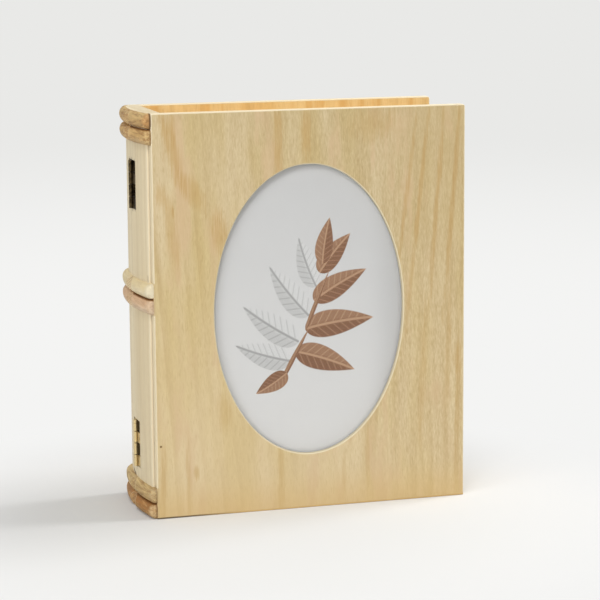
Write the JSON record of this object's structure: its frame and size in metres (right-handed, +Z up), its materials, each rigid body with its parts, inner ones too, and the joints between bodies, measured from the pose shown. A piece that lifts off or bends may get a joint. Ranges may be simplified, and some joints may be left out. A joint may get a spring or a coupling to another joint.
{
  "type": "book box",
  "caption": "Wooden keepsake box shaped like a closed book, with a bowed and banded spine, a hinged front half and an oval picture window.",
  "frame": {"origin": "under the middle of the closed box, on the surface it stands on", "axes": "+Z up along the spine, +Y from the front cover to the back cover, +X from the spine to the fore-edge"},
  "size_m": [0.2117, 0.0732, 0.254],
  "materials": {
    "cover_wood": "bare sanded",
    "spine_wood": "bare sanded",
    "band_wood": "bare sanded",
    "wall_wood": "bare sanded",
    "pane": "clear",
    "card": "printed paper",
    "backing": "hardboard",
    "hinge_brass": "plated",
    "button_brass": "plated",
    "screw_brass": "plated",
    "pin_steel": "bright"
  },
  "bodies": {
    "base": {"back_cover": "cover_wood", "spine_base": "spine_wood", "hinge_screws_base": "screw_brass", "hinge_leaf_lower_base": "hinge_brass", "hinge_leaf_upper_base": "hinge_brass", "hinge_pin_lower": "pin_steel", "hinge_pin_upper": "pin_steel", "band_tail_lower_base": "band_wood", "band_tail_upper_base": "band_wood", "band_middle_lower_base": "band_wood", "band_middle_upper_base": "band_wood", "band_head_lower_base": "band_wood", "band_head_upper_base": "band_wood", "tail_wall_base": "wall_wood", "head_wall_base": "wall_wood", "fore_edge_wall_base": "wall_wood"},
    "lid": {"front_cover": "cover_wood", "window_pane": "pane", "picture_card": "card", "backing_board": "backing", "turn_button_screws": "screw_brass", "spine_lid": "spine_wood", "hinge_screws_lid": "screw_brass", "hinge_leaf_lower_lid": "hinge_brass", "hinge_leaf_upper_lid": "hinge_brass", "band_tail_lower_lid": "band_wood", "band_tail_upper_lid": "band_wood", "band_middle_lower_lid": "band_wood", "band_middle_upper_lid": "band_wood", "band_head_lower_lid": "band_wood", "band_head_upper_lid": "band_wood", "tail_wall_lid": "wall_wood", "head_wall_lid": "wall_wood", "fore_edge_wall_lid": "wall_wood"},
    "turn_button_1": {"turn_button_1": "button_brass"},
    "turn_button_2": {"turn_button_2": "button_brass"},
    "turn_button_3": {"turn_button_3": "button_brass"},
    "turn_button_4": {"turn_button_4": "button_brass"}
  },
  "joints": [
    {"name": "lid_hinge", "type": "hinge", "parent": "base", "child": "lid", "pos_m": [-0.1027, 0, 0.127], "axis": [0, 0, -1], "range_deg": [0, 110]},
    {"name": "turn_button_1_pivot", "type": "hinge", "parent": "lid", "child": "turn_button_1", "pos_m": [-0.076, -0.0306, 0.0673], "axis": [0, 1, 0], "range_deg": [-90, 90]},
    {"name": "turn_button_2_pivot", "type": "hinge", "parent": "lid", "child": "turn_button_2", "pos_m": [-0.076, -0.0306, 0.1877], "axis": [0, 1, 0], "range_deg": [-90, 90]},
    {"name": "turn_button_3_pivot", "type": "hinge", "parent": "lid", "child": "turn_button_3", "pos_m": [0.0818, -0.0306, 0.0673], "axis": [0, 1, 0], "range_deg": [-90, 90]},
    {"name": "turn_button_4_pivot", "type": "hinge", "parent": "lid", "child": "turn_button_4", "pos_m": [0.0818, -0.0306, 0.1877], "axis": [0, 1, 0], "range_deg": [-90, 90]}
  ]
}
